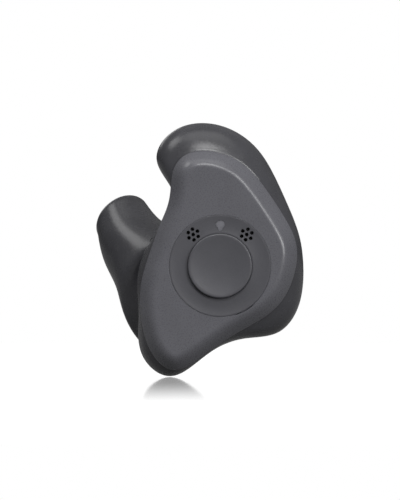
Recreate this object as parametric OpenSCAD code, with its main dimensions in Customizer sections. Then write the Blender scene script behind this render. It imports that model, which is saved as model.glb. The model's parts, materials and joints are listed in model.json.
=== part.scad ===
// In-the-ear hearing aid for a left ear: a hollow custom shell with helix lock and canal,
// a faceplate with a rolled edge, a round electronics module and everything that they hold.
// X runs right and Z up as the faceplate is seen, Y runs into the ear.
// Working frame: axis of the round module, on the seam between faceplate and shell.
// The finished pieces are moved so that the origin lies in the tip of the canal.

/* [Faceplate] */
// Width of the faceplate's outline
plate_w = 17.2; // [16.8:0.1:18]
// Height of the faceplate's outline
plate_h = 24; // [23.6:0.1:25]
// Thickness from the seam to the flat front
plate_t = 1.8; // [1.7:0.05:2.1]
// Width of the rolled edge round the flat front
edge_w = 1.35; // [1:0.05:1.5]
// Depth of the lip that finds the shell's mouth
lip_depth = 0.8; // [0.5:0.1:1]
// Thickness of that lip
lip_t = 0.5; // [0.4:0.05:0.6]
// Gap between the lip and the shell's inner wall
lip_gap = 0.25; // [0.2:0.05:0.3]

/* [Shell] */
// Wall of the shell
shell_wall = 0.8; // [0.6:0.05:0.9]
// Furthest that the shell stands out past the faceplate, at the helix lock
helix_bulge = 3; // [2.6:0.1:3.3]

/* [Canal] */
// Centre of the canal's tip, to the right of the module's axis
tip_x = -10.6; // [-10.9:0.1:-10.3]
// Centre of the canal's tip, behind the seam
tip_y = 14.6; // [14.4:0.1:15.4]
// Centre of the canal's tip, above the module's axis
tip_z = 4.95; // [4.7:0.05:5.2]
// Radius of the canal at its tip
tip_r = 3.2; // [3.1:0.05:3.5]
// Rounding of the tip's edge
tip_round = 0.8; // [0.7:0.05:1]
// Angle between the canal and the module's axis
canal_lean = 48; // [46:1:50]
// Direction in which the canal leans, anticlockwise from +X
canal_bearing = 130; // [128:1:132]

/* [Module disc] */
// Radius of the round opening in the faceplate
disc_r = 5.5; // [5.45:0.01:5.55]
// Thickness of the disc
bezel_t = 0.95; // [0.9:0.01:1.05]
// Height of the disc's rim over the faceplate
bezel_proud = 0.05; // [0.02:0.01:0.1]
// Depth of the shallow dish in the disc
bezel_dish = 0.12; // [0.05:0.01:0.16]
// Radius of the circle on which sound holes and light window lie
port_circle_r = 4.45; // [4.42:0.01:4.48]
// Angle between the light window and each group of sound holes
port_angle = 40.5; // [39:0.5:42]
// Radius of one sound hole
hole_r = 0.19; // [0.15:0.01:0.2]
// Distance from a group's middle hole to the ones round it
hole_pitch = 0.58; // [0.54:0.01:0.6]
// Radius of the light window
window_r = 0.43; // [0.35:0.01:0.45]

/* [Push button] */
// Radius of the button
button_r = 3.42; // [3.3:0.01:3.44]
// Height of the button over the disc's rim
button_rise = 0.42; // [0.35:0.01:0.5]
// Depth of the shallow dish in the button
button_dish = 0.12; // [0.05:0.01:0.15]
// Travel of the button
button_travel = 0.25; // [0.15:0.01:0.25]
// Reach of the three tabs that hold the button in
tab_reach = 0.5; // [0.4:0.02:0.52]

/* [Battery and charging] */
// Radius of the rechargeable cell
cell_r = 3.9; // [3.7:0.05:3.95]
// Thickness of the cell
cell_t = 4; // [3.6:0.1:4.2]
// Outer radius of the charging coil
coil_r = 2.5; // [2.3:0.05:2.52]
// Inner radius of the charging coil
coil_hole_r = 1.1; // [0.9:0.05:1.4]
// Thickness of the charging coil
coil_t = 0.5; // [0.4:0.02:0.54]

/* [Electronics] */
// Thickness of the circuit boards
board_t = 0.4; // [0.3:0.02:0.44]
// Width of the amplifier board
hybrid_w = 4.2; // [3.8:0.1:4.4]
// Height of the amplifier board
hybrid_h = 3.2; // [3:0.1:3.4]
// Length of a microphone
mic_length = 2.2; // [2:0.05:2.24]
// Width of a microphone
mic_w = 1.9; // [1.7:0.05:2]
// Thickness of a microphone
mic_t = 0.95; // [0.8:0.01:1]
// Length of the telecoil
telecoil_length = 4; // [3.6:0.1:4.2]
// Radius of the telecoil's winding
telecoil_r = 0.65; // [0.5:0.05:0.7]

/* [Receiver and wax guard] */
// Length of the receiver
receiver_length = 5; // [4.6:0.1:5.2]
// Width of the receiver
receiver_w = 2.8; // [2.6:0.05:2.85]
// Thickness of the receiver
receiver_t = 2.3; // [2.1:0.05:2.4]
// Wall of the receiver's soft sleeve
boot_wall = 0.22; // [0.18:0.01:0.25]
// Outer radius of the bush in the canal's tip
collar_r = 1.7; // [1.6:0.02:1.8]
// Radius of the bush's bore
collar_bore_r = 1.05; // [1:0.01:1.1]
// Length of the bush
collar_length = 2.2; // [2.1:0.05:2.4]
// Radius of the wax guard's rim
guard_rim_r = 1.45; // [1.35:0.01:1.55]
// Radius of the sound outlet through the wax guard
outlet_r = 0.6; // [0.5:0.02:0.62]

/* [Hidden] */
$fn = 64;

// Clearances and the overrun of every cut
overrun = 0.2;
glue_gap = 0.02;
slide_gap = 0.05;
button_gap = 0.09;
seat_gap = 0.05;

// Outline of the faceplate: x as a share of plate_w, z as a share of plate_h
outline_shares = [
    [0.491, 0.037], [0.456, 0.156], [0.363, 0.271], [0.262, 0.375], [0.14, 0.467],
    [-0.035, 0.517], [-0.203, 0.51], [-0.296, 0.44], [-0.312, 0.352], [-0.336, 0.262],
    [-0.395, 0.165], [-0.452, 0.045], [-0.501, -0.08], [-0.504, -0.215], [-0.451, -0.375],
    [-0.32, -0.473], [-0.18, -0.448], [-0.035, -0.373], [0.128, -0.296], [0.291, -0.231],
    [0.424, -0.129]];

// How far the shell stands out beside each of those points, as a share of helix_bulge
bulge_shares = [0.19, 0.21, 0.36, 0.54, 0.77, 0.98, 0.99, 0.78, -0.08, -0.08, 0,
    0.2, 0.15, 0.03, 0.37, 0.27, 0.06, 0.04, 0.28, 0.77, 0.56];

// Cross sections of the shell from its mouth to the canal's tip. Each row holds
// depth, x and z of the centre as shares of tip_y, tip_x and tip_z,
// size of the faceplate's outline, share of the bulge, roundness,
// radius of the round part as a share of tip_r, and share of the canal's lean
section_shares = [
    [0, 0, 0, 1, 0, 0, 1, 0],
    [0.048, 0, 0, 1, 0.6, 0, 1, 0],
    [0.151, 0, 0, 1, 1.03, 0, 1, 0],
    [0.288, 0, 0, 1, 1.03, 0, 1, 0],
    [0.432, -0.022, 0.044, 0.96, 0.5, 0.1, 2.299, 0],
    [0.562, 0.209, -0.546, 0.72, 0, 0.5, 2.155, 0.15],
    [0.658, 0.346, -0.784, 0.5, 0, 1, 2.316, 0.5],
    [0.767, 0.659, -0.003, 0.5, 0, 1, 1.479, 0.85],
    [0.89, 0.9, 0.459, 0.5, 0, 1, 1.216, 1],
    [1, 1, 1, 0.5, 0, 1, 1, 1]];

// Turn of the round sections, so that the surface isn't twisted
section_turn = -14;
// Steps of the surface between two points of the outline, and between two sections
steps_round = 3;
steps_along = 3;
// Steps of the rolled edges
edge_steps = 5;

// Levels of the module, front to back, and its radii
face_y = -plate_t;
bezel_front = face_y - bezel_proud;
bezel_back = bezel_front + bezel_t;
gasket_t = 0.6;
board_front = bezel_back + gasket_t;
board_back = board_front + board_t;
flange_reach = 0.45;
flange_r = disc_r + flange_reach;
flange_t = 0.4;
chassis_wall = 0.4;
chassis_r = disc_r - slide_gap;
chassis_rim = 0.33;
ledge_w = 0.17;
board_r = chassis_r - chassis_rim - slide_gap;
ledge_r = board_r - ledge_w;
coil_y = board_back + glue_gap;
ferrite_t = 0.25;
ferrite_y = coil_y + coil_t + glue_gap;
pad_y = ferrite_y + ferrite_t + glue_gap;
pad_t = 0.4;
cell_y = pad_y + pad_t + glue_gap;
cell_back = cell_y + cell_t;
cell_gap = 0.1;
chassis_back = cell_back + seat_gap + chassis_wall;
chassis_hole_r = 1.5;

// Module disc and what lies behind it
skirt_t = 0.2;
bezel_edge = 0.12;
mesh_t = 0.08;
mesh_r = hole_pitch + hole_r + glue_gap;
mesh_pocket = 0.2;
channel_r = 0.45;
gasket_wall = 0.35;
gasket_half_angle = 17;
port_r = 0.25;
front_azimuth = 90 + port_angle;
rear_azimuth = 90 - port_angle;
channel_circle_r = port_circle_r - slide_gap;
hole_turn_front = 98.6;
hole_turn_rear = 77.5;
holes_round = 6;

// Push button
button_edge = 0.16;
button_back = bezel_back - seat_gap;
button_skirt_t = 0.7;
tab_t = 0.35;
tab_half_angle = 12;
tab_play_angle = 2;
tab_azimuths = [0, 180, 270];
plunger_r = 0.7;
dome_r = 1.6;
dome_t = 0.1;
dome_h = button_travel + dome_t;

// Light
led_w = 0.8;
led_h = 0.5;
led_t = 0.28;

// Battery cell's cap and edges
cell_edge = 0.25;
cell_cap_inset = 0.6;
cell_cap_step = 0.08;

// Battery contacts: width, thickness, foot on the board, and the bends from there
contact_w = 1.2;
contact_t = 0.12;
contact_margin = 0.2;
contact_foot = 0.5;
contact_slope = 0.6;
contact_spring = 0.15;
contact_bend = 0.4;

// Ribbon: width, thickness, its foot under the board, its slope and its landing
flex_w = 1.6;
flex_t = 0.12;
flex_foot = 0.55;
flex_slope = 0.5;
flex_margin = 0.25;
flex_landing = 0.3;
flex_play = 0.25;

// Amplifier board behind the upper part of the faceplate
hybrid_x_share = -0.07;
hybrid_x = hybrid_x_share * plate_w;
hybrid_gap = 1.05;
hybrid_z = flange_r + hybrid_gap + hybrid_h / 2;
foam_t = 0.45;
foam_margin = 0.2;
hybrid_y = glue_gap + foam_t + glue_gap;
hybrid_back = hybrid_y + board_t;
chip_gap = 0.01;
chip_margin = 0.2;
capacitor_size = [0.6, 0.3, 0.3];
processor_side = hybrid_h - 3 * chip_margin - capacitor_size[0];
processor_t = 0.5;
radio_gap = 0.5;
radio_w = hybrid_w - processor_side - 2 * chip_margin - radio_gap;
radio_h_share = 0.65;
radio_h = radio_h_share * processor_side;
radio_t = 0.4;
capacitor_count = 4;
capacitor_pitch = 0.5;

// Telecoil behind the lower part of the faceplate
telecoil_place_shares = [-0.285, -0.292];
telecoil_turn = 5;
core_r = 0.35;
core_overhang = 0.35;

// Antenna strip round the module
antenna_t = 0.15;
antenna_h = 0.7;
antenna_gap_share = 0.177;
antenna_gap = antenna_gap_share * (outline_shares[0][0] * plate_w - shell_wall - flange_r);
antenna_r = flange_r + antenna_gap;
antenna_start_angle = 2;
antenna_end_angle = 62;

// Canal: places along its axis, measured outward from the tip's face
canal_axis = [sin(canal_lean) * cos(canal_bearing), cos(canal_lean),
    sin(canal_lean) * sin(canal_bearing)];
tip_centre = [tip_x, tip_y, tip_z];
tip_face = tip_centre + tip_round * canal_axis;
mouth_r = collar_r + glue_gap;
collar_flange_reach = 0.45;
collar_flange_r = collar_r + collar_flange_reach;
collar_flange_t = 0.35;
guard_rim_t = 0.3;
guard_body_r = collar_bore_r - slide_gap;
guard_length = 1.5;
guard_lip = 0.5;
guard_mesh_t = 0.1;
guard_mesh_seat = 0.18;
guard_mesh_gap = 0.22;
guard_mesh_r = outlet_r + guard_mesh_seat;
tube_start = guard_length + 2 * seat_gap;
tube_bore_r = outlet_r - slide_gap;
tube_r = collar_bore_r - slide_gap;
tube_length = 1.25;
receiver_start = tube_start + tube_length + seat_gap;
spout_gap = 0.03;
spout_r = tube_bore_r - spout_gap;
spout_length = 0.8;
spout_bore_r = 0.35;
boot_inset = 0.4;

// Wires from the receiver to the amplifier board, and where they land on it
wire_r = 0.14;
wire_pitch = 0.45;
wire_sides = 8;
wire_steps = 4;
wire_lift = 0.6;
wire_bow = 1;
wire_land_shares = [0.28, -0.18];

// Blending weights of a smooth curve at the share t of a step
function weights(t) =
    [pow(1 - t, 3), 3 * pow(t, 3) - 6 * t * t + 4, -3 * pow(t, 3) + 3 * t * t + 3 * t + 1,
        pow(t, 3)] / 6;

// Point k of a closed list
function turn_index(list, k) = list[(k + len(list)) % len(list)];

// Guide points moved out, so that the smooth closed curve passes by the given points
function guides(points) =
    [for (k = [0 : len(points) - 1])
        (8 * points[k] - turn_index(points, k - 1) - turn_index(points, k + 1)) / 6];

// Smooth closed curve by the given points
function closed_curve(points) =
    let (guide = guides(points))
    [for (k = [0 : len(guide) - 1], step = [0 : steps_round - 1])
        weights(step / steps_round) * [turn_index(guide, k - 1), guide[k],
            turn_index(guide, k + 1), turn_index(guide, k + 2)]];

function unit(v) = v / norm(v);

// Outward direction at each point of a flat closed curve, anticlockwise
function outward(points) =
    [for (k = [0 : len(points) - 1])
        let (along = unit(turn_index(points, k + 1) - turn_index(points, k - 1)))
        [along[1], -along[0]]];

outline = [for (p = outline_shares) [p[0] * plate_w, p[1] * plate_h]];
outline_normals = outward(outline);
plate_curve = closed_curve(outline);
plate_normals = outward(plate_curve);

// The faceplate's outline drawn in by a distance
function inset(distance) = plate_curve - distance * plate_normals;

// A flat point of the faceplate's plane put at depth y
function at_depth(p, y) = [p[0], y, p[1]];

// Guide points of one cross section of the shell
function section(row) =
    let (
        lean = row[7] * canal_lean,
        c = cos(canal_bearing),
        s = sin(canal_bearing),
        centre = [row[1] * tip_x, row[0] * tip_y, row[2] * tip_z],
        across = [cos(lean) * c, -sin(lean), cos(lean) * s],
        beside = [-s, 0, c])
    [for (k = [0 : len(outline) - 1])
        let (
            angle = section_turn + 360 * k / len(outline),
            round_part = row[6] * tip_r * [cos(angle), sin(angle)],
            flat_part = row[3] * outline[k] + row[4] * helix_bulge * bulge_shares[k] * outline_normals[k],
            p = row[5] * round_part + (1 - row[5]) * flat_part)
        centre + (p[0] * c + p[1] * s) * across + (-p[0] * s + p[1] * c) * beside];

section_curves = [for (row = section_shares) closed_curve(section(row))];
last_section = len(section_curves) - 1;
around = len(section_curves[0]);

// Sections with one more at each end, so that the surface starts and ends on them
guide_curves = concat(
    [2 * section_curves[0] - section_curves[1]],
    section_curves,
    [2 * section_curves[last_section] - section_curves[last_section - 1]]);

// Ring of the shell's outer surface, step t past section k
function surface_ring(k, t) =
    let (w = weights(t))
    w[0] * guide_curves[k] + w[1] * guide_curves[k + 1] + w[2] * guide_curves[k + 2]
        + w[3] * guide_curves[k + 3];

outer_rings = [for (k = [0 : last_section - 1], step = [0 : steps_along - 1])
        surface_ring(k, step / steps_along),
    section_curves[last_section]];
last_ring = len(outer_rings) - 1;

// Direction into the shell at a point of ring i
function inward(i, j) =
    let (
        round_way = turn_index(outer_rings[i], j + 1) - turn_index(outer_rings[i], j - 1),
        long_way = outer_rings[min(i + 1, last_ring)][j] - outer_rings[max(i - 1, 0)][j],
        n = cross(round_way, long_way))
    i == 0 ? unit([n[0], 0, n[2]]) : unit(n);

// Ring of the inner surface, one wall inside outer ring i
function inner_ring(i) = [for (j = [0 : around - 1]) outer_rings[i][j] + shell_wall * inward(i, j)];

// Round ring on the canal's axis, z outward from the tip's face
function canal_ring(r, z) =
    let (
        c = cos(canal_bearing),
        s = sin(canal_bearing),
        across = [cos(canal_lean) * c, -sin(canal_lean), cos(canal_lean) * s],
        beside = [-s, 0, c])
    [for (j = [0 : around - 1])
        let (
            angle = section_turn + 360 * j / around,
            p = r * [cos(angle), sin(angle)])
        tip_face + z * canal_axis + (p[0] * c + p[1] * s) * across
            + (-p[0] * s + p[1] * c) * beside];

tip_rings = [for (step = [1 : edge_steps])
    let (a = 90 * step / edge_steps)
    canal_ring(tip_r - tip_round * (1 - cos(a)), tip_round * (sin(a) - 1))];

mouth_rings = [canal_ring(mouth_r, 0), canal_ring(mouth_r, -shell_wall),
    canal_ring(tip_r - tip_round, -shell_wall)];

// Closed body through rings that lead round and back to the first one
module ring_body(rings) {
    n = len(rings[0]);
    m = len(rings);
    points = [for (ring = rings, p = ring) p];
    faces = [for (i = [0 : m - 1], j = [0 : n - 1])
        let (
            a = i * n + j,
            b = i * n + (j + 1) % n,
            c = ((i + 1) % m) * n + (j + 1) % n,
            d = ((i + 1) % m) * n + j)
        for (face = [[a, b, c], [a, c, d]]) face];
    polyhedron(points, faces, convexity = 6);
}

// Closed body through rings, with a fan on the first and the last one
module capped_body(rings) {
    n = len(rings[0]);
    m = len(rings);
    points = concat([for (ring = rings, p = ring) p],
        [centre_of(rings[0]), centre_of(rings[m - 1])]);
    sides = [for (i = [0 : m - 2], j = [0 : n - 1])
        let (
            a = i * n + j,
            b = i * n + (j + 1) % n,
            c = (i + 1) * n + (j + 1) % n,
            d = (i + 1) * n + j)
        for (face = [[a, b, c], [a, c, d]]) face];
    first_fan = [for (j = [0 : n - 1]) [m * n, (j + 1) % n, j]];
    last_fan = [for (j = [0 : n - 1]) [m * n + 1, (m - 1) * n + j, (m - 1) * n + (j + 1) % n]];
    polyhedron(points, concat(sides, first_fan, last_fan), convexity = 6);
}

// Middle of a ring of points
function centre_of(ring) = sum(ring) / len(ring);
function sum(list, k = 0) = k == len(list) - 1 ? list[k] : list[k] + sum(list, k + 1);

// Moves a finished piece so that the origin lies in the canal's tip
module in_ear() {
    translate(-tip_centre) children();
}

// Rod along Y between two depths
module rod(y0, y1, r) {
    translate([0, y0, 0]) rotate([-90, 0, 0]) cylinder(h = y1 - y0, r = r);
}

// Tube along Y between two depths
module tube(y0, y1, outer, inner) {
    difference() {
        rod(y0, y1, outer);
        rod(y0 - overrun, y1 + overrun, inner);
    }
}

// Body turned round the module's axis from a profile of [radius, depth] points
module turned(profile) {
    rotate([-90, 0, 0]) rotate_extrude() polygon(profile);
}

// Place at a radius and an azimuth, anticlockwise from +X as seen from the front
module at_polar(radius, azimuth) {
    translate([radius * cos(azimuth), 0, radius * sin(azimuth)]) children();
}

// Flat block, centred in X and Z, from depth 0 back
module slab(w, t, h) {
    translate([-w / 2, 0, -h / 2]) cube([w, t, h]);
}

// Wedge between two azimuths, for cutting arcs out of rings
module wedge(y0, y1, r, from, to) {
    middle = (from + to) / 2;
    half = (to - from) / 2;
    reach = 2 * r;
    translate([0, y1, 0]) rotate([90, 0, 0]) linear_extrude(y1 - y0)
        polygon([[0, 0], reach * [cos(middle - half), sin(middle - half)],
            reach * [cos(middle + half), sin(middle + half)]]);
}

// Bent strip: thick line through [z, y] points, as wide along X as given
module strip(points, t, w) {
    way = [for (k = [0 : len(points) - 1])
        unit(points[min(k + 1, len(points) - 1)] - points[max(k - 1, 0)])];
    one_side = [for (k = [0 : len(points) - 1]) points[k] + t / 2 * [-way[k][1], way[k][0]]];
    other_side = [for (k = [len(points) - 1 : -1 : 0])
        points[k] - t / 2 * [-way[k][1], way[k][0]]];
    translate([-w / 2, 0, 0]) rotate([90, 0, 90]) linear_extrude(w)
        polygon([for (p = concat(one_side, other_side)) [p[1], p[0]]]);
}

// Puts a piece on the canal's axis, its +Z outward and zero on the tip's face
module in_canal() {
    translate(tip_face) rotate(canal_lean, [sin(canal_bearing), 0, -cos(canal_bearing)])
        rotate([-90, 0, 0]) children();
}

// Rod and tube along the canal, between two distances inside the tip's face
module canal_rod(start, end, r) {
    in_canal() translate([0, 0, -end]) cylinder(h = end - start, r = r);
}
module canal_tube(start, end, outer, inner) {
    difference() {
        canal_rod(start, end, outer);
        canal_rod(start - overrun, end + overrun, inner);
    }
}

// Box on the canal's axis, between two distances inside the tip's face
module canal_box(start, end, w, t) {
    in_canal() translate([-w / 2, -t / 2, -end]) cube([w, t, end - start]);
}

module shell() {
    inner_steps = [for (i = [last_ring - 1 : -2 : 1]) inner_ring(i)];
    color("dimgray") in_ear()
        ring_body(concat(outer_rings, tip_rings, mouth_rings, inner_steps, [inner_ring(0)]));
}

module plate_blank() {
    rings = [for (step = [edge_steps : -1 : 0])
        let (a = 90 * step / edge_steps)
        [for (p = inset(edge_w * (1 - cos(a)))) at_depth(p, face_y * sin(a))]];
    capped_body(rings);
}

module plate_lip() {
    near = shell_wall + lip_gap;
    translate([0, lip_depth, 0]) rotate([90, 0, 0]) linear_extrude(lip_depth + overrun)
        difference() {
            polygon(inset(near));
            polygon(inset(near + lip_t));
        }
}

module faceplate() {
    color("slategray") in_ear() {
        difference() {
            union() {
                plate_blank();
                difference() {
                    plate_lip();
                    rod(-2 * overrun, lip_depth + overrun, flange_r + seat_gap);
                    hybrid_blank(-2 * overrun, lip_depth + overrun, glue_gap);
                    antenna_blank(-2 * overrun, lip_depth + overrun, glue_gap);
                }
            }
            rod(face_y - overrun, lip_depth + overrun, disc_r);
        }
    }
}

// The group of sound holes behind one port
module sound_holes(azimuth, turn) {
    at_polar(port_circle_r, azimuth) {
        rod(bezel_front - overrun, bezel_back + overrun, hole_r);
        for (k = [0 : holes_round - 1])
            at_polar(hole_pitch, turn + 360 * k / holes_round)
                rod(bezel_front - overrun, bezel_back + overrun, hole_r);
    }
}

module module_bezel() {
    opening_r = button_r + button_gap;
    rim_r = chassis_r;
    skirt_r = rim_r - skirt_t;
    color("slategray") in_ear() difference() {
        turned([
            [opening_r, bezel_front + bezel_edge / 2],
            [opening_r + bezel_edge / 2, bezel_front + bezel_dish / 2],
            [(opening_r + rim_r) / 2, bezel_front + bezel_dish],
            [rim_r - 2 * bezel_edge, bezel_front + bezel_dish / 2],
            [rim_r - bezel_edge, bezel_front],
            [rim_r - bezel_edge / 3, bezel_front + bezel_edge / 4],
            [rim_r, bezel_front + bezel_edge],
            [rim_r, board_front - glue_gap],
            [skirt_r, board_front - glue_gap],
            [skirt_r, bezel_back],
            [opening_r, bezel_back]]);
        sound_holes(front_azimuth, hole_turn_front);
        sound_holes(rear_azimuth, hole_turn_rear);
        for (azimuth = [front_azimuth, rear_azimuth])
            at_polar(port_circle_r, azimuth)
                rod(bezel_back - mesh_pocket, bezel_back + overrun, mesh_r + glue_gap);
        at_polar(port_circle_r, 90)
            rod(bezel_front - overrun, bezel_back + overrun, window_r + glue_gap);
        for (azimuth = tab_azimuths)
            intersection() {
                tube(button_back - tab_t - glue_gap, bezel_back + overrun,
                    button_r + tab_reach + button_gap, button_r);
                wedge(button_back - tab_t - overrun, bezel_back + 2 * overrun, disc_r,
                    azimuth - tab_half_angle - tab_play_angle,
                    azimuth + tab_half_angle + tab_play_angle);
            }
    }
}

module push_button() {
    top = bezel_front - button_rise;
    well_r = button_r - button_skirt_t;
    well_y = top + button_skirt_t;
    plunger_end = board_front - dome_h - glue_gap;
    color("slategray") in_ear() union() {
        turned([
            [0, top + button_dish],
            [button_r / 2, top + 0.75 * button_dish],
            [button_r - 2 * button_edge, top + button_edge / 8],
            [button_r - button_edge, top],
            [button_r - button_edge / 3, top + button_edge / 4],
            [button_r, top + button_edge],
            [button_r, button_back],
            [well_r, button_back],
            [well_r, well_y],
            [plunger_r, well_y],
            [plunger_r, plunger_end],
            [0, plunger_end]]);
        for (azimuth = tab_azimuths)
            intersection() {
                tube(button_back - tab_t, button_back, button_r + tab_reach, button_r - overrun);
                wedge(button_back - 2 * tab_t, button_back + tab_t, disc_r,
                    azimuth - tab_half_angle, azimuth + tab_half_angle);
            }
    }
}

// Room of the button, cut out of what lies beside it
module button_room() {
    rod(bezel_front - overrun, bezel_back + glue_gap, button_r + button_gap);
}

module led_window() {
    color("gainsboro") in_ear() difference() {
        at_polar(port_circle_r, 90)
            rod(bezel_front + bezel_dish / 2, board_front - led_t - 2 * glue_gap, window_r);
        button_room();
    }
}

module indicator_led() {
    color("white") in_ear() at_polar(port_circle_r, 90)
        translate([0, board_front - led_t - glue_gap / 2, 0]) slab(led_w, led_t, led_h);
}

module mic_mesh(azimuth) {
    front = bezel_back - mesh_pocket + glue_gap;
    color("silver") in_ear() difference() {
        at_polar(port_circle_r, azimuth) rod(front, front + mesh_t, mesh_r);
        button_room();
    }
}
module mic_mesh_front() { mic_mesh(front_azimuth); }
module mic_mesh_rear() { mic_mesh(rear_azimuth); }

module mic_gasket(azimuth) {
    outer = channel_circle_r + channel_r + gasket_wall;
    inner = channel_circle_r - channel_r - gasket_wall;
    front = bezel_back + glue_gap;
    back = board_front - glue_gap;
    color("whitesmoke") in_ear() difference() {
        intersection() {
            tube(front, back, outer, inner);
            wedge(front - overrun, back + overrun, disc_r,
                azimuth - gasket_half_angle, azimuth + gasket_half_angle);
        }
        at_polar(channel_circle_r, azimuth) rod(front - overrun, back + overrun, channel_r);
    }
}
module mic_gasket_front() { mic_gasket(front_azimuth); }
module mic_gasket_rear() { mic_gasket(rear_azimuth); }

// Microphone with its sound port under the hole in the board
module microphone(azimuth) {
    middle = sqrt(pow(ledge_r, 2) - pow(mic_w / 2, 2)) - slide_gap - mic_length / 2;
    y0 = board_back + glue_gap;
    color("goldenrod") in_ear() difference() {
        at_polar(middle, azimuth) translate([0, y0, 0]) rotate([0, -azimuth, 0])
            slab(mic_length, mic_t, mic_w);
        at_polar(channel_circle_r, azimuth) rod(y0 - overrun, y0 + mic_t / 2, port_r);
    }
}
module front_microphone() { microphone(front_azimuth); }
module rear_microphone() { microphone(rear_azimuth); }

module switch_dome() {
    base = board_front - glue_gap / 2;
    steps = 6;
    rise = dome_h - glue_gap / 2;
    outer = [for (k = [0 : steps])
        let (a = 90 * k / steps)
        [dome_r * sin(a), base - dome_t - (rise - dome_t) * cos(a)]];
    inner = [for (k = [steps : -1 : 0])
        let (a = 90 * k / steps)
        [(dome_r - dome_t) * sin(a), base - (rise - dome_t) * cos(a)]];
    color("lightsteelblue") in_ear() turned(concat(outer, [[dome_r, base]], inner));
}

module front_board() {
    color("darkgreen") in_ear() difference() {
        rod(board_front, board_back, board_r);
        for (azimuth = [front_azimuth, rear_azimuth])
            at_polar(channel_circle_r, azimuth)
                rod(board_front - overrun, board_back + overrun, port_r);
    }
}

module module_chassis() {
    cup_r = cell_r + cell_gap;
    cup_outer = cup_r + chassis_wall;
    shoulder = cell_y + seat_gap;
    slot_h = flex_t + 2 * flex_play;
    color("darkslategray") in_ear() difference() {
        turned([
            [board_r + slide_gap, board_front],
            [chassis_r, board_front],
            [chassis_r, glue_gap],
            [flange_r, glue_gap],
            [flange_r, flange_t],
            [chassis_r, flange_t],
            [chassis_r, shoulder + chassis_wall],
            [cup_outer, shoulder + chassis_wall],
            [cup_outer, chassis_back],
            [chassis_hole_r, chassis_back],
            [chassis_hole_r, cell_back + seat_gap],
            [cup_r, cell_back + seat_gap],
            [cup_r, shoulder],
            [ledge_r, shoulder],
            [ledge_r, board_back],
            [board_r + slide_gap, board_back]]);
        translate([0, flange_t + seat_gap, ledge_r])
            slab(flex_w + 2 * overrun, slot_h, 4 * chassis_wall);
        translate([-cup_r, shoulder - overrun, 0])
            slab(4 * contact_t, cell_t / 2 + 2 * overrun, contact_w + 2 * overrun);
    }
}

module charging_coil() {
    color("orangered") in_ear() tube(coil_y, coil_y + coil_t, coil_r, coil_hole_r);
}

module ferrite_disc() {
    color("black") in_ear() rod(ferrite_y, ferrite_y + ferrite_t, coil_r);
}

module battery_pad() {
    color("dimgray") in_ear() rod(pad_y, pad_y + pad_t, coil_r);
}

module battery_cell() {
    cap_r = cell_r - cell_cap_inset;
    can_y = cell_y + cell_cap_step;
    color("silver") in_ear() turned([
        [0, cell_y],
        [cap_r, cell_y],
        [cap_r, can_y],
        [cell_r - cell_edge, can_y],
        [cell_r, can_y + cell_edge],
        [cell_r, cell_back - cell_edge],
        [cell_r - cell_edge, cell_back],
        [0, cell_back]]);
}

module battery_contact_minus() {
    y0 = board_back + glue_gap + contact_t / 2;
    y1 = cell_y - glue_gap - contact_t / 2;
    outside = ledge_r - contact_margin;
    inside = coil_r + contact_margin;
    color("gold") in_ear() strip([
        [-outside, y0],
        [-outside + contact_foot, y0],
        [-inside - contact_slope, y1],
        [-inside, y1]], contact_t, contact_w);
}

module battery_contact_plus() {
    y0 = board_back + glue_gap + contact_t / 2;
    near = cell_r + glue_gap + contact_t / 2;
    color("gold") in_ear() rotate([0, -90, 0]) strip([
        [ledge_r - contact_spring, y0],
        [near + contact_spring, y0],
        [near, cell_y + contact_bend],
        [near, cell_y + cell_t / 2]], contact_t, contact_w);
}

module board_pad() {
    color("gray") in_ear() translate([hybrid_x, glue_gap, hybrid_z])
        slab(hybrid_w - 2 * foam_margin, foam_t, hybrid_h - 2 * foam_margin);
}

// Block as wide and as high as the amplifier board, grown by a clearance
module hybrid_blank(y0, y1, clearance) {
    translate([hybrid_x, y0, hybrid_z])
        slab(hybrid_w + 2 * clearance, y1 - y0, hybrid_h + 2 * clearance);
}

module hybrid_board() {
    color("darkgreen") in_ear() hybrid_blank(hybrid_y, hybrid_back, 0);
}

// Place on the back of the amplifier board, from the board's middle
module on_hybrid(dx, dz) {
    translate([hybrid_x + dx, hybrid_back + chip_gap, hybrid_z + dz]) children();
}

module processor_chip() {
    reach = processor_side / 2 + chip_margin;
    color("black") in_ear() on_hybrid(-hybrid_w / 2 + reach, hybrid_h / 2 - reach)
        slab(processor_side, processor_t, processor_side);
}

module radio_chip() {
    color("darkslategray") in_ear()
        on_hybrid((hybrid_w - radio_w) / 2 - chip_margin, (hybrid_h - radio_h) / 2 - chip_margin)
            slab(radio_w, radio_t, radio_h);
}

module capacitors() {
    first = -hybrid_w / 2 + 2 * chip_margin;
    low = -hybrid_h / 2 + chip_margin + capacitor_size[0] / 2;
    color("burlywood") in_ear()
        for (k = [0 : capacitor_count - 1])
            on_hybrid(first + capacitor_pitch * k, low)
                slab(capacitor_size[1], capacitor_size[2], capacitor_size[0]);
}

module flex_cable() {
    y0 = board_back + glue_gap + flex_t / 2;
    y1 = flange_t + seat_gap + flex_play + flex_t / 2;
    y2 = hybrid_back + chip_gap + flex_t / 2;
    bend = ledge_r - flex_margin;
    landing = hybrid_z - hybrid_h / 2;
    color("darkorange") in_ear() strip([
        [bend - flex_slope - flex_foot, y0],
        [bend - flex_slope, y0],
        [bend, y1],
        [landing - flex_slope, y1],
        [landing - seat_gap, y2],
        [landing + flex_landing, y2]], flex_t, flex_w);
}

// Rod of the telecoil, behind the faceplate
module on_telecoil(length, r) {
    translate([telecoil_place_shares[0] * plate_w, telecoil_r + glue_gap,
        telecoil_place_shares[1] * plate_h])
        rotate([0, telecoil_turn, 0]) translate([0, 0, -length / 2]) cylinder(h = length, r = r);
}

module telecoil_core() {
    color("dimgray") in_ear() on_telecoil(telecoil_length + 2 * core_overhang, core_r);
}

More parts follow.
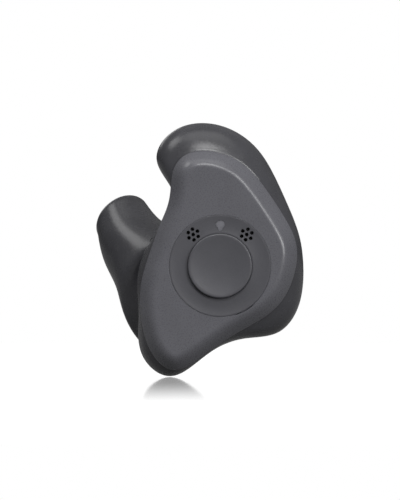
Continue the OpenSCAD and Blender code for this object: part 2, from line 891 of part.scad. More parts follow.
module telecoil_winding() {
    color("chocolate") in_ear() difference() {
        on_telecoil(telecoil_length, telecoil_r);
        on_telecoil(telecoil_length + overrun, core_r + glue_gap);
    }
}

// The antenna's arc between two depths, grown by a clearance
module antenna_blank(y0, y1, clearance) {
    intersection() {
        tube(y0, y1, antenna_r + antenna_t + clearance, antenna_r - clearance);
        wedge(y0 - overrun, y1 + overrun, antenna_r, antenna_start_angle, antenna_end_angle);
    }
}

module antenna() {
    color("gold") in_ear() antenna_blank(glue_gap, glue_gap + antenna_h, 0);
}

module receiver() {
    color("silver") in_ear() difference() {
        union() {
            canal_box(receiver_start, receiver_start + receiver_length, receiver_w, receiver_t);
            canal_rod(receiver_start - spout_length, receiver_start + overrun, spout_r);
        }
        canal_rod(receiver_start - spout_length - overrun, receiver_start + overrun, spout_bore_r);
    }
}

module receiver_boot() {
    start = receiver_start + boot_inset;
    end = receiver_start + receiver_length - boot_inset;
    grow = 2 * glue_gap;
    color("whitesmoke") in_ear() difference() {
        canal_box(start, end, receiver_w + grow + 2 * boot_wall, receiver_t + grow + 2 * boot_wall);
        canal_box(start - overrun, end + overrun, receiver_w + grow, receiver_t + grow);
    }
}

module receiver_tube() {
    color("whitesmoke") in_ear()
        canal_tube(tube_start, tube_start + tube_length, tube_r, tube_bore_r);
}

// Smooth open curve through guide points, its ends on the first and the last one
function open_curve(points) =
    let (
        last = len(points) - 1,
        guide = concat([2 * points[0] - points[1]], points, [2 * points[last] - points[last - 1]]))
    [for (k = [0 : last - 1], step = [0 : wire_steps - 1])
            weights(step / wire_steps) * [guide[k], guide[k + 1], guide[k + 2], guide[k + 3]],
        points[last]];

// Round wire along a curve, its rings square to the curve
module wire(points) {
    curve = open_curve(points);
    last = len(curve) - 1;
    rings = [for (k = [0 : last])
        let (
            way = unit(curve[min(k + 1, last)] - curve[max(k - 1, 0)]),
            side = unit(cross(way, [1, 0, 0])),
            up = cross(side, way))
        [for (a = [0 : wire_sides - 1])
            curve[k] + wire_r * (cos(360 * a / wire_sides) * side + sin(360 * a / wire_sides) * up)]];
    capped_body(rings);
}

module receiver_wires() {
    back = tip_face - (receiver_start + receiver_length + seat_gap) * canal_axis;
    land = [hybrid_x + wire_land_shares[0] * hybrid_w, hybrid_back + 2 * glue_gap,
        hybrid_z + wire_land_shares[1] * hybrid_h];
    halfway = (back + land) / 2;
    toward_module = -unit([halfway[0], 0, halfway[2]]);
    beside_receiver = unit(cross(canal_axis, land - back));
    beside_board = unit(cross([0, 1, 0], land - back));
    color("crimson") in_ear()
        for (side = [-1, 1]) {
            start_shift = side * wire_pitch / 2 * beside_receiver;
            end_shift = side * wire_pitch / 2 * beside_board;
            wire([back + start_shift,
                back - wire_lift * canal_axis + start_shift,
                halfway + wire_bow * toward_module + (start_shift + end_shift) / 2,
                land + [0, 2 * wire_lift, 0] + end_shift,
                land + end_shift]);
        }
}

module guard_collar() {
    flange_start = shell_wall + seat_gap;
    color("gray") in_ear() difference() {
        union() {
            canal_rod(0, collar_length, collar_r);
            canal_rod(flange_start, flange_start + collar_flange_t, collar_flange_r);
        }
        canal_rod(-overrun, collar_length + overrun, collar_bore_r);
    }
}

module wax_guard() {
    color("white") in_ear() difference() {
        union() {
            canal_rod(-glue_gap - guard_rim_t, -glue_gap, guard_rim_r);
            canal_rod(-glue_gap - guard_rim_t / 2, guard_length, guard_body_r);
        }
        canal_rod(-glue_gap - guard_rim_t - overrun, guard_length + overrun, outlet_r);
        canal_rod(guard_length - guard_lip, guard_length + overrun, guard_mesh_r + glue_gap);
    }
}

module guard_mesh() {
    start = guard_length - guard_lip + guard_mesh_gap;
    color("silver") in_ear() canal_rod(start, start + guard_mesh_t, guard_mesh_r);
}

shell();
faceplate();
module_bezel();
push_button();
led_window();
indicator_led();
mic_mesh_front();
mic_mesh_rear();
mic_gasket_front();
mic_gasket_rear();
front_microphone();
rear_microphone();
switch_dome();
front_board();
module_chassis();
charging_coil();
ferrite_disc();
battery_pad();
battery_cell();
battery_contact_plus();
battery_contact_minus();
board_pad();
hybrid_board();
processor_chip();
radio_chip();
capacitors();
flex_cable();
telecoil_core();
telecoil_winding();
antenna();
receiver();
receiver_boot();
receiver_tube();
receiver_wires();
guard_collar();
wax_guard();
guard_mesh();
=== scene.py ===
import bpy
import bmesh
import json
import math
import numpy as np
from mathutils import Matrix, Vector


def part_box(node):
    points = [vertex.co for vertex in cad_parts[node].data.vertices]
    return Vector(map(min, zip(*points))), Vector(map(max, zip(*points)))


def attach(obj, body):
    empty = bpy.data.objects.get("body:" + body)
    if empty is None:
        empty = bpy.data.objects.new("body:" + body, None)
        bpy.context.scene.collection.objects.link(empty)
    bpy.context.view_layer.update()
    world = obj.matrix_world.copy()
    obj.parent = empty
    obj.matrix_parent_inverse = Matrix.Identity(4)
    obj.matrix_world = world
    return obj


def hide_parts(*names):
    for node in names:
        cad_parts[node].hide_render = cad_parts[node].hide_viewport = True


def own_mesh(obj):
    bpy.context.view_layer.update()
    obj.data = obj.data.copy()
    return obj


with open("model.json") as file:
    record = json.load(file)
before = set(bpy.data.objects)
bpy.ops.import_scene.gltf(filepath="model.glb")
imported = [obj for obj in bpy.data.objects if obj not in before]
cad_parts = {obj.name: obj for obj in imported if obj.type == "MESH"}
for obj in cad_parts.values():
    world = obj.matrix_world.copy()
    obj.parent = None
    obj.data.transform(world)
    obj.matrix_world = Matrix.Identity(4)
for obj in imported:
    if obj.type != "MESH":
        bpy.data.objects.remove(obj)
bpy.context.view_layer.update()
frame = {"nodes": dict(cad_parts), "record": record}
mm = 0.001
print("frame loaded")


class Wire:  # an output socket; sums on it add Math nodes
    def __init__(self, finish, socket):
        self.finish = finish
        self.socket = socket

    def __add__(self, other):
        return self.finish.calc("ADD", self, other)

    def __sub__(self, other):
        return self.finish.calc("SUBTRACT", self, other)

    def __rsub__(self, other):
        return self.finish.calc("SUBTRACT", other, self)

    def __mul__(self, other):
        return self.finish.calc("MULTIPLY", self, other)

    def __pow__(self, other):
        return self.finish.calc("POWER", self, other)

    __radd__ = __add__
    __rmul__ = __mul__


class Board:  # a node tree, and the nodes put on it
    def __init__(self, tree):
        self.tree = tree
        tree.nodes.clear()

    def node(self, kind, settings=None, inputs=None, output=0):
        made = self.tree.nodes.new(kind)
        for key, value in (settings or {}).items():
            setattr(made, key, value)
        for key, value in (inputs or {}).items():
            if isinstance(value, Wire):
                self.tree.links.new(value.socket, made.inputs[key])
            else:
                made.inputs[key].default_value = value
        return Wire(self, made.outputs[output]) if made.outputs else made

    def calc(self, operation, *values):
        return self.node("ShaderNodeMath", {"operation": operation}, dict(enumerate(values)))

    def place(self, kind="Object"):
        return self.node("ShaderNodeTexCoord", output=kind)

    def axis(self, place, letter):
        return self.node("ShaderNodeSeparateXYZ", inputs={0: place}, output="XYZ".index(letter))

    def noise(self, place, size, detail=2.0, rough=0.5):
        return self.node("ShaderNodeTexNoise", inputs={
            "Vector": place, "Scale": 1 / size, "Detail": detail, "Roughness": rough})

    def wave(self, way, pitch):
        return self.calc("SINE", way * (2 * math.pi / pitch))

    def mix(self, factor, first, second):
        colours = [(*c, 1) if isinstance(c, tuple) else c for c in (first, second)]
        return self.node("ShaderNodeMix", {"data_type": "RGBA"},
                         {0: factor, 6: colours[0], 7: colours[1]}, output=2)

    def between(self, value, low, high, outLow=0.0, outHigh=1.0):
        return self.node("ShaderNodeMapRange", {"interpolation_type": "SMOOTHSTEP"}, {
            0: value, 1: low, 2: high, 3: outLow, 4: outHigh})

    def bump(self, height, depth, strength=1.0, under=None):
        inputs = {"Strength": strength, "Distance": depth, "Height": height}
        if under is not None:
            inputs["Normal"] = under
        return self.node("ShaderNodeBump", inputs=inputs)


class Finish(Board):
    def __init__(self, name, fixed=None):
        self.material = bpy.data.materials.new(name)
        self.material.use_nodes = True
        super().__init__(self.material.node_tree)
        self.fixed = fixed or {}  # what is the same all over

    def feed(self, **sockets):
        names = {"colour": "Base Color", "roughness": "Roughness", "metallic": "Metallic",
                 "normal": "Normal", "alpha": "Alpha"}
        varied = {names[key]: value for key, value in sockets.items()}
        return self.show(self.node("ShaderNodeBsdfPrincipled", inputs={**self.fixed, **varied}))

    def show(self, surface):
        self.node("ShaderNodeOutputMaterial", inputs={0: surface})
        return self.material


def grey(level, blue=0.12):
    # linear grey for a level of 0 to 255 on screen, a touch of blue in it
    linear = ((level / 255 + 0.055) / 1.055) ** 2.4
    return (linear, linear, linear * (1 + blue))


def shade(level, by):
    return tuple(c * by for c in level)


shellLook = {"colour": grey(58), "roughness": 0.25, "specular": 0.5, "cloud": 3.0 * mm,
             "waveSize": 2.4 * mm, "waveDepth": 0.012 * mm, "speck": 0.18 * mm,
             "speckDepth": 0.0012 * mm, "smear": 1.4 * mm, "smearRough": 0.06}


def shellResin():
    look = shellLook
    finish = Finish("shellResin", {"Specular IOR Level": look["specular"], "IOR": 1.5})
    place = finish.place()
    cloud = finish.noise(place, look["cloud"], 3.0)
    speck = finish.noise(place, look["speck"], 1.0)
    base = look["colour"]
    colour = finish.mix(finish.between(cloud, 0.3, 0.7), shade(base, 0.92), shade(base, 1.1))
    smear = finish.noise(place, look["smear"], 4.0, 0.6)
    rough = finish.between(smear, 0.35, 0.8, look["roughness"],
                           look["roughness"] + look["smearRough"])
    rolling = finish.bump(finish.noise(place, look["waveSize"], 0.0), look["waveDepth"], 0.6)
    fine = finish.bump(speck, look["speckDepth"], 0.5, rolling)
    return finish.feed(colour=colour, roughness=rough, normal=fine)


plateLook = {"colour": grey(85), "roughness": 0.28, "specular": 0.5, "grain": 0.13 * mm,
             "grainDepth": 0.0015 * mm}


def satinResin(name, look):
    finish = Finish(name, {"Specular IOR Level": look["specular"], "IOR": 1.5})
    place = finish.place()
    cloud = finish.noise(place, 2.6 * mm, 3.0)
    grain = finish.noise(place, look["grain"], 3.0, 0.65)
    base = look["colour"]
    soft = finish.mix(finish.between(cloud, 0.3, 0.7), shade(base, 0.96), shade(base, 1.05))
    colour = finish.mix(finish.between(grain, 0.35, 0.7) * 0.5, soft, shade(base, 1.18))
    rough = finish.between(grain, 0.3, 0.75, look["roughness"] - 0.03, look["roughness"] + 0.08)
    return finish.feed(colour=colour, roughness=rough,
                       normal=finish.bump(grain, look["grainDepth"], 0.55))


moduleLook = {"colour": grey(73), "roughness": 0.34, "specular": 0.4, "grain": 0.1 * mm,
              "grainDepth": 0.004 * mm}
buttonLook = {"colour": grey(74), "roughness": 0.32, "specular": 0.42, "grain": 0.12 * mm,
              "grainDepth": 0.005 * mm}


pipeLook = {"colours": (grey(104), grey(118)), "haze": 0.25 * mm, "roughness": (0.3, 0.45)}


def lightPipe():
    look = pipeLook
    finish = Finish("lightPipe", {"IOR": 1.49, "Transmission Weight": 0.25,
                                  "Specular IOR Level": 0.4})
    haze = finish.noise(finish.place(), look["haze"], 2.0)
    colour = finish.mix(finish.between(haze, 0.3, 0.7), *look["colours"])
    rough = finish.between(haze, 0.3, 0.7, *look["roughness"])
    return finish.feed(colour=colour, roughness=rough)


def metal(name, colour, roughness, along="X", brush=0.02 * mm, depth=0.001 * mm):
    # rolled or drawn metal with fine lines along one axis
    finish = Finish(name)
    place = finish.place()
    stretch = tuple(0.04 if letter == along else 1.0 for letter in "XYZ")
    lines = finish.node("ShaderNodeMapping", inputs={0: place, "Scale": stretch})
    brushed = finish.noise(lines, brush, 2.0)
    tarnish = finish.noise(place, 1.2 * mm, 3.0)
    tone = finish.mix(finish.between(tarnish, 0.35, 0.75), colour, shade(colour, 0.8))
    rough = finish.between(brushed, 0.3, 0.7, roughness - 0.06, roughness + 0.1)
    return finish.feed(colour=tone, metallic=1.0, roughness=rough,
                       normal=finish.bump(brushed, depth, 0.6))


# between: painted shade in the grooves between turns; crown: the copper's own colour
copperLook = {"between": (0.16, 0.05, 0.02), "crown": (0.62, 0.26, 0.11), "roughness": 0.32}


def winding(name, pitch, ring):
    # enamelled copper turns: rings about the module's axis, or turns along Z; the grooves between
    # turns are painted darker copper, as painted shade
    finish = Finish(name, {"Coat Roughness": 0.1, "Coat Weight": 0.5})
    place = finish.place()
    if ring:
        low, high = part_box("charging_coil")
        middle = (Vector(low) + Vector(high)) / 2
        x = finish.axis(place, "X") - middle.x
        z = finish.axis(place, "Z") - middle.z
        reach = (x * x + z * z) ** 0.5
    else:
        reach = finish.axis(place, "Z")
    turn = finish.wave(reach, pitch) * 0.5 + 0.5
    # the darker copper between turns is painted shade
    colour = finish.mix(turn, copperLook["between"], copperLook["crown"])
    return finish.feed(colour=colour, metallic=0.85, roughness=copperLook["roughness"],
                       normal=finish.bump(turn, pitch / 3, 0.8))


boardLook = {"mask": (0.008, 0.05, 0.02), "track": (0.02, 0.13, 0.05), "roughness": 0.35,
             "pitchA": 0.42 * mm, "pitchB": 0.5 * mm, "patch": 1.3 * mm, "trackDepth": 0.01 * mm}


def solderMask():
    # two sets of slanting tracks, which change over in patches
    look = boardLook
    finish = Finish("solderMask", {"Coat Weight": 0.6, "Coat Roughness": 0.12})
    place = finish.place()
    x = finish.axis(place, "X")
    z = finish.axis(place, "Z")
    trackA = finish.between(finish.wave(x + z, look["pitchA"]), 0.55, 0.75)
    trackB = finish.between(finish.wave(x - z, look["pitchB"]), 0.6, 0.8)
    patch = finish.between(finish.noise(place, look["patch"], 0.0), 0.48, 0.52)
    track = trackA * patch + trackB * (1 - patch)
    colour = finish.mix(track, look["mask"], look["track"])
    return finish.feed(colour=colour, roughness=look["roughness"],
                       normal=finish.bump(track, look["trackDepth"], 0.7))


def moulded(name, colour, roughness, grain=0.08 * mm, depth=0.003 * mm, fixed=None):
    finish = Finish(name, fixed)
    place = finish.place()
    cloud = finish.noise(place, 1.1 * mm, 3.0)
    pores = finish.noise(place, grain, 2.0, 0.6)
    tone = finish.mix(finish.between(cloud, 0.3, 0.7), shade(colour, 0.85), shade(colour, 1.12))
    pitted = finish.bump(pores, depth, 0.6)
    rough = finish.between(pores, 0.3, 0.7, roughness - 0.05, roughness + 0.07)
    return finish.feed(colour=tone, normal=pitted, roughness=rough)


foamLook = {"wall": (0.012, 0.012, 0.013), "hollow": (0.05, 0.05, 0.053), "cell": 0.09 * mm,
            "cellDepth": 0.03 * mm, "roughness": 0.85}


def foam():
    look = foamLook
    finish = Finish("closedFoam", {"Sheen Weight": 0.3, "Sheen Roughness": 0.5})
    place = finish.place()
    cells = finish.node("ShaderNodeTexVoronoi", inputs={"Vector": place, "Scale": 1 / look["cell"]})
    colour = finish.mix(finish.between(cells, 0.0, 0.7), look["wall"], look["hollow"])
    return finish.feed(colour=colour, roughness=look["roughness"],
                       normal=finish.bump(cells, look["cellDepth"], 0.9))


def wovenWire(name, pitch, level):
    # two sets of crossing wires, with painted shade: near-black in the open gaps between them,
    # darker on the wires' sides
    finish = Finish(name)
    place = finish.place()
    x, z = (finish.axis(place, letter) for letter in "XZ")
    over = finish.calc("MAXIMUM", finish.wave(x, pitch), finish.wave(z, pitch))
    # the near-black in the gaps and the ramp up to the crowns are painted shade
    colour = finish.mix(finish.between(over, -0.2, 0.6), (0.006, 0.006, 0.007),
                        (level, level, level))
    return finish.feed(colour=colour, metallic=finish.between(over, 0.0, 0.3), roughness=0.35,
                       normal=finish.bump(over, pitch / 4, 0.8))


def openWeave(name, pitch, level):
    # like wovenWire, with the squares between the wires left open; the wires' sides are painted
    # darker, as painted shade
    finish = Finish(name)
    place = finish.place()
    x, y, z = (finish.axis(place, letter) for letter in "XYZ")
    across, beside = x * 0.77 - z * 0.64, x * 0.5 + y * 0.6 + z * 0.6
    over = finish.calc("MAXIMUM", finish.wave(across, pitch), finish.wave(beside, pitch))
    colour = finish.mix(finish.between(over, 0.0, 0.7), shade((level, level, level), 0.4),
                        (level, level, level))
    return finish.feed(colour=colour, metallic=1.0, roughness=0.3,
                       normal=finish.bump(over, pitch / 4, 0.7),
                       alpha=finish.between(over, -0.25, -0.15))


capLook = {"body": ((0.3, 0.2, 0.11), (0.4, 0.29, 0.17)), "tin": (0.62, 0.62, 0.63),
           "tinFrom": (0.28, 0.31), "grit": 0.05 * mm, "gritDepth": 0.003 * mm}


def ceramicChips():
    # brown bodies with tinned ends
    look = capLook
    finish = Finish("ceramicChips")
    z = finish.axis(finish.place("Generated"), "Z")
    tin = finish.between(finish.calc("ABSOLUTE", z - 0.5), *look["tinFrom"])
    speck = finish.noise(finish.place(), look["grit"], 2.0)
    body = finish.mix(finish.between(speck, 0.3, 0.7), *look["body"])
    return finish.feed(colour=finish.mix(tin, body, look["tin"]), metallic=tin,
                       roughness=0.4 - 0.1 * tin, normal=finish.bump(speck, look["gritDepth"], 0.5))


ribbonLook = {"film": (0.3, 0.11, 0.02), "track": (0.52, 0.25, 0.07), "pitch": 0.2 * mm,
              "trackDepth": 0.012 * mm, "roughness": 0.3}


def ribbonFilm():
    look = ribbonLook
    finish = Finish("ribbonFilm", {"Coat Weight": 0.4, "Coat Roughness": 0.1})
    x = finish.axis(finish.place(), "X")
    track = finish.between(finish.wave(x, look["pitch"]), -0.1, 0.2)
    colour = finish.mix(track, look["film"], look["track"])
    return finish.feed(colour=colour, roughness=look["roughness"],
                       normal=finish.bump(track, look["trackDepth"], 0.6))


chipLook = {"dimpleAt": (0.15, 0.85), "dimpleRadius": (0.06, 0.08), "dimpleDepth": 0.02 * mm,
            "grit": 0.03 * mm, "gritDepth": 0.002 * mm, "roughness": 0.5}


def markedChip(name, colour):
    # moulding compound with a small round dimple of the mould, no lettering
    look = chipLook
    finish = Finish(name)
    place = finish.place()
    spot = finish.place("Generated")
    x = finish.axis(spot, "X") - look["dimpleAt"][0]
    z = finish.axis(spot, "Z") - look["dimpleAt"][1]
    dimple = finish.between((x * x + z * z) ** 0.5, *look["dimpleRadius"])
    grit = finish.noise(place, look["grit"], 2.0)
    tone = finish.mix(finish.between(grit, 0.3, 0.7), shade(colour, 0.8), shade(colour, 1.3))
    under = finish.bump(dimple, look["dimpleDepth"], 0.6)
    return finish.feed(colour=tone, roughness=look["roughness"],
                       normal=finish.bump(grit, look["gritDepth"], 0.5, under))


softRubber = {"Transmission Weight": 0.35, "IOR": 1.41, "Subsurface Weight": 0.2,
              "Subsurface Scale": 0.0005}
finishes = {
    "shell_resin": shellResin(),
    "plate_resin": satinResin("plateResin", plateLook),
    "module_plastic": satinResin("modulePlastic", moduleLook),
    "button_plastic": satinResin("buttonPlastic", buttonLook),
    "light_pipe": lightPipe(),
    "led_body": moulded("ledBody", (0.72, 0.72, 0.62), 0.25),
    # the fine mesh's low level of 0.12 is painted shade, so the mic holes read dark
    "fine_mesh": wovenWire("fineMeshPaintedShade", 0.1 * mm, 0.12),
    "silicone": moulded("siliconeRubber", (0.62, 0.63, 0.64), 0.4, fixed=softRubber),
    "mic_can": metal("micCan", (0.83, 0.6, 0.25), 0.28),
    "snap_steel": metal("snapSteel", (0.6, 0.61, 0.63), 0.22),
    "board": solderMask(),
    "chassis_plastic": moulded("chassisPlastic", (0.02, 0.021, 0.023), 0.42),
    "copper_wire": winding("copperTurns", 0.12 * mm, True),
    "ferrite": moulded("ferriteCeramic", (0.03, 0.03, 0.032), 0.5, 0.05 * mm),
    "foam": foam(),
    "cell_steel": metal("cellSteel", (0.66, 0.67, 0.69), 0.2, "Y"),
    "gold_spring": metal("goldSpring", (0.85, 0.62, 0.26), 0.25),
    "chip": markedChip("chipCompound", (0.012, 0.012, 0.013)),
    "ceramic": ceramicChips(),
    "ribbon": ribbonFilm(),
    "receiver_can": metal("receiverCan", (0.62, 0.63, 0.65), 0.26, "Z"),
    "wire_cover": moulded("wireEnamel", (0.42, 0.02, 0.015), 0.3),
    "collar_plastic": moulded("collarPlastic", (0.09, 0.094, 0.1), 0.35),
    "guard_plastic": moulded("guardPlastic", (0.78, 0.78, 0.76), 0.3,
                             fixed={"Subsurface Weight": 0.1, "Subsurface Scale": 0.0004}),
}
special = {  # nodes whose look differs from their slot's
    "telecoil_winding": winding("telecoilTurns", 0.09 * mm, False),
    "guard_mesh": openWeave("guardWeave", 0.16 * mm, 0.55),
}
print("finishes made:", len(finishes) + len(special))

for part in frame["record"]["subparts"]:
    obj = frame["nodes"][part["node"]]
    look = special.get(part["node"], finishes[part["material_slot"]])
    if not obj.material_slots:
        obj.data.materials.append(look)
    for held in obj.material_slots:
        held.material = look
print("frame pieces dressed:", len(frame["nodes"]))


def splineWeights(t):
    return np.array([(1 - t) ** 3, 3 * t ** 3 - 6 * t ** 2 + 4,
                     -3 * t ** 3 + 3 * t ** 2 + 3 * t + 1, t ** 3]) / 6


def closedCurve(points, steps):
    # smooth closed curve by the points: the guide points stand a little outside them
    points = np.asarray(points, float)
    guide = (8 * points - np.roll(points, 1, 0) - np.roll(points, -1, 0)) / 6
    around = np.stack([np.roll(guide, shift, 0) for shift in (1, 0, -1, -2)])
    curve = [splineWeights(step / steps) @ around.transpose(1, 0, 2) for step in range(steps)]
    return np.stack(curve, 1).reshape(-1, points.shape[1])


def outward(points):
    along = np.roll(points, -1, 0) - np.roll(points, 1, 0)
    along /= np.linalg.norm(along, axis=1)[:, None]
    return np.stack([along[:, 1], -along[:, 0]], 1)


def finishPiece(name, mesh, slotName, body, sharpAngle=40):
    mesh.polygons.foreach_set("use_smooth", [True] * len(mesh.polygons))
    mesh.set_sharp_from_angle(angle=math.radians(sharpAngle))
    mesh.materials.clear()
    mesh.materials.append(finishes[slotName])
    piece = bpy.data.objects.new(name, mesh)
    bpy.context.scene.collection.objects.link(piece)
    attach(piece, body)
    return piece


def meshPiece(name, points, faces, slotName, sharpAngle):
    mesh = bpy.data.meshes.new(name)
    mesh.from_pydata([tuple(p) for p in points], [], faces)
    mesh.validate()
    return finishPiece(name, mesh, slotName, "hearing_aid", sharpAngle)


def ringFaces(rows, columns):
    # four-sided faces between rings of points, the last ring joined to the first
    faces = []
    for i in range(rows):
        for j in range(columns):
            a, b = i * columns + j, i * columns + (j + 1) % columns
            k = (i + 1) % rows
            faces.append((a, k * columns + j, k * columns + (j + 1) % columns, b))
    return faces


plate = {
    "width": 17.2, "height": 24.0, "thickness": 1.8, "edge": 1.35, "steps": 14,
    "outlineShares": [
        (0.491, 0.037), (0.456, 0.156), (0.363, 0.271), (0.262, 0.375), (0.14, 0.467),
        (-0.035, 0.517), (-0.203, 0.51), (-0.296, 0.44), (-0.312, 0.352), (-0.336, 0.262),
        (-0.395, 0.165), (-0.452, 0.045), (-0.501, -0.08), (-0.504, -0.215), (-0.451, -0.375),
        (-0.32, -0.473), (-0.18, -0.448), (-0.035, -0.373), (0.128, -0.296), (0.291, -0.231),
        (0.424, -0.129)],
    "discRadius": 5.5, "boreEdge": 0.025, "lipDepth": 0.8, "lipWall": 0.5, "lipGap": 0.25,
    "flangeRadius": 6.0, "antennaRadius": 6.5, "groove": 0.03, "trim": 0.045,
    "crestRound": 0.5, "bandPower": 0.75, "bandSteps": 16, "crestSteps": 8, "flatFrom": 1.05,
    "antennaAzimuths": (-6, 70), "lipGives": 0.86, "lipStep": 0.05,
}
shell = {
    "wall": 0.8, "bulge": 3.0, "tip": (-10.6, 14.6, 4.95), "tipRadius": 3.2, "tipRound": 0.8,
    "lean": 48, "bearing": 130, "turn": -14, "mouthRadius": 1.72, "mouthRound": 0.05,
    "stepsAlong": 10, "roundSteps": 8,
    "bulgeShares": [0.19, 0.21, 0.36, 0.54, 0.77, 0.98, 0.99, 0.78, -0.08, -0.08, 0,
                    0.2, 0.15, 0.03, 0.37, 0.27, 0.06, 0.04, 0.28, 0.77, 0.56],
    # shares: depth, middle x and z, outline size, bulge, roundness, radius, lean
    "sections": [
        (0, 0, 0, 1, 0, 0, 1, 0), (0.048, 0, 0, 1, 0.6, 0, 1, 0), (0.151, 0, 0, 1, 1.03, 0, 1, 0),
        (0.288, 0, 0, 1, 1.03, 0, 1, 0), (0.432, -0.022, 0.044, 0.96, 0.5, 0.1, 2.299, 0),
        (0.562, 0.209, -0.546, 0.72, 0, 0.5, 2.155, 0.15),
        (0.658, 0.346, -0.784, 0.5, 0, 1, 2.316, 0.5),
        (0.767, 0.659, -0.003, 0.5, 0, 1, 1.479, 0.85),
        (0.89, 0.9, 0.459, 0.5, 0, 1, 1.216, 1), (1, 1, 1, 0.5, 0, 1, 1, 1)],
}
tipCentre = np.array(shell["tip"])


def toRow(points):
    # from the module's axis on the seam, in millimetres, to the shared frame
    return (np.asarray(points) - tipCentre) * mm


lean, bearing = math.radians(shell["lean"]), math.radians(shell["bearing"])
canalAxis = np.array([math.sin(lean) * math.cos(bearing), math.cos(lean),
                      math.sin(lean) * math.sin(bearing)])
tipFace = tipCentre + shell["tipRound"] * canalAxis
outline = np.array(plate["outlineShares"]) * (plate["width"], plate["height"])


def leaning(angle):
    # two directions across the canal at this lean, and its bearing's cosine and sine
    c, s = math.cos(bearing), math.sin(bearing)
    across = np.array([math.cos(angle) * c, -math.sin(angle), math.cos(angle) * s])
    return across, np.array([-s, 0, c]), c, s


def shellSection(row):
    # one closed section of the loft: the plate's outline, a circle or a blend of both
    depth, middleX, middleZ, size, bulge, roundness, radius, leanShare = row
    across, beside, c, s = leaning(leanShare * lean)
    middle = np.array([middleX * tipCentre[0], depth * tipCentre[1], middleZ * tipCentre[2]])
    turns = np.radians(shell["turn"] + 360 * np.arange(len(outline)) / len(outline))
    roundPart = radius * shell["tipRadius"] * np.stack([np.cos(turns), np.sin(turns)], 1)
    stand = bulge * shell["bulge"] * np.array(shell["bulgeShares"])[:, None]
    p = roundness * roundPart + (1 - roundness) * (size * outline + stand * outward(outline))
    return (middle + np.outer(p[:, 0] * c + p[:, 1] * s, across)
            + np.outer(-p[:, 0] * s + p[:, 1] * c, beside))


def canalRing(radius, distance, count):
    # circle about the canal's axis, at a distance from the tip's face
    across, beside, c, s = leaning(lean)
    turns = np.radians(shell["turn"] + 360 * np.arange(count) / count)
    x, z = radius * np.cos(turns), radius * np.sin(turns)
    return (tipFace + distance * canalAxis + np.outer(x * c + z * s, across)
            + np.outer(-x * s + z * c, beside))


def makeShell():
    steps = shell["stepsAlong"]
    curves = [closedCurve(shellSection(row), plate["steps"]) for row in shell["sections"]]
    guide = [2 * curves[0] - curves[1], *curves, 2 * curves[-1] - curves[-2]]
    outer = [sum(w * g for w, g in zip(splineWeights(step / steps), guide[k:k + 4]))
             for k in range(len(curves) - 1) for step in range(steps)] + [curves[-1]]
    outer = np.array(outer)
    count = outer.shape[1]
    around = np.roll(outer, -1, 1) - np.roll(outer, 1, 1)
    along = np.concatenate([outer[1:2] - outer[0:1], outer[2:] - outer[:-2],
                            outer[-1:] - outer[-2:-1]])
    inward = np.cross(around, along)
    inward[0, :, 1] = 0
    inward /= np.linalg.norm(inward, axis=2)[:, :, None]
    inner = outer + shell["wall"] * inward
    trim = plate["trim"]  # keeps the smooth surface inside the frame's box
    outer += trim * inward
    outer[0] += plate["groove"] * inward[0]  # fine groove at the seam
    radius, reach = shell["tipRadius"] - trim, shell["tipRound"] - trim
    edges = [canalRing(radius - reach * (1 - math.cos(a)), shell["tipRound"] * (math.sin(a) - 1),
                       count)
             for a in np.radians(90 * np.arange(1, shell["roundSteps"] + 1) / shell["roundSteps"])]
    mouth, soft = shell["mouthRadius"], shell["mouthRound"]
    edges += [canalRing(mouth + soft, 0, count), canalRing(mouth, -soft, count),
              canalRing(mouth, -shell["wall"], count),
              canalRing(shell["tipRadius"] - shell["tipRound"], -shell["wall"], count)]
    rings = np.concatenate([outer, edges, inner[-4:0:-3], inner[0:1]])
    points = toRow(rings.reshape(-1, 3))
    piece = meshPiece("shellBody", points, ringFaces(len(rings), count), "shell_resin", 35)
    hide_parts("shell")


def plateRing(inset, depth):
    flat = plateCurve - inset * plateNormals
    return np.stack([flat[:, 0], np.full(len(flat), depth), flat[:, 1]], 1)


def lipRing(depth):
    # inner side of the lip, which gives way to the module's flange and to the antenna
    near = shell["wall"] + plate["lipGap"]
    outside, full = plateRing(near, depth), plateRing(near + plate["lipWall"], depth)
    inside = full.copy()
    azimuth = np.degrees(np.arctan2(inside[:, 2], inside[:, 0]))
    first, last = plate["antennaAzimuths"]
    keep = np.where((azimuth > first) & (azimuth < last), plate["antennaRadius"],
                    plate["flangeRadius"])
    for t in np.arange(0, plate["lipGives"], plate["lipStep"]):
        short = np.hypot(inside[:, 0], inside[:, 2]) < keep
        inside[short] = (outside + (1 - t) * (full - outside))[short]
    return inside


def boreRing(radius, depth):
    way = plateCurve / np.linalg.norm(plateCurve, axis=1)[:, None] * radius
    return np.stack([way[:, 0], np.full(len(way), depth), way[:, 1]], 1)


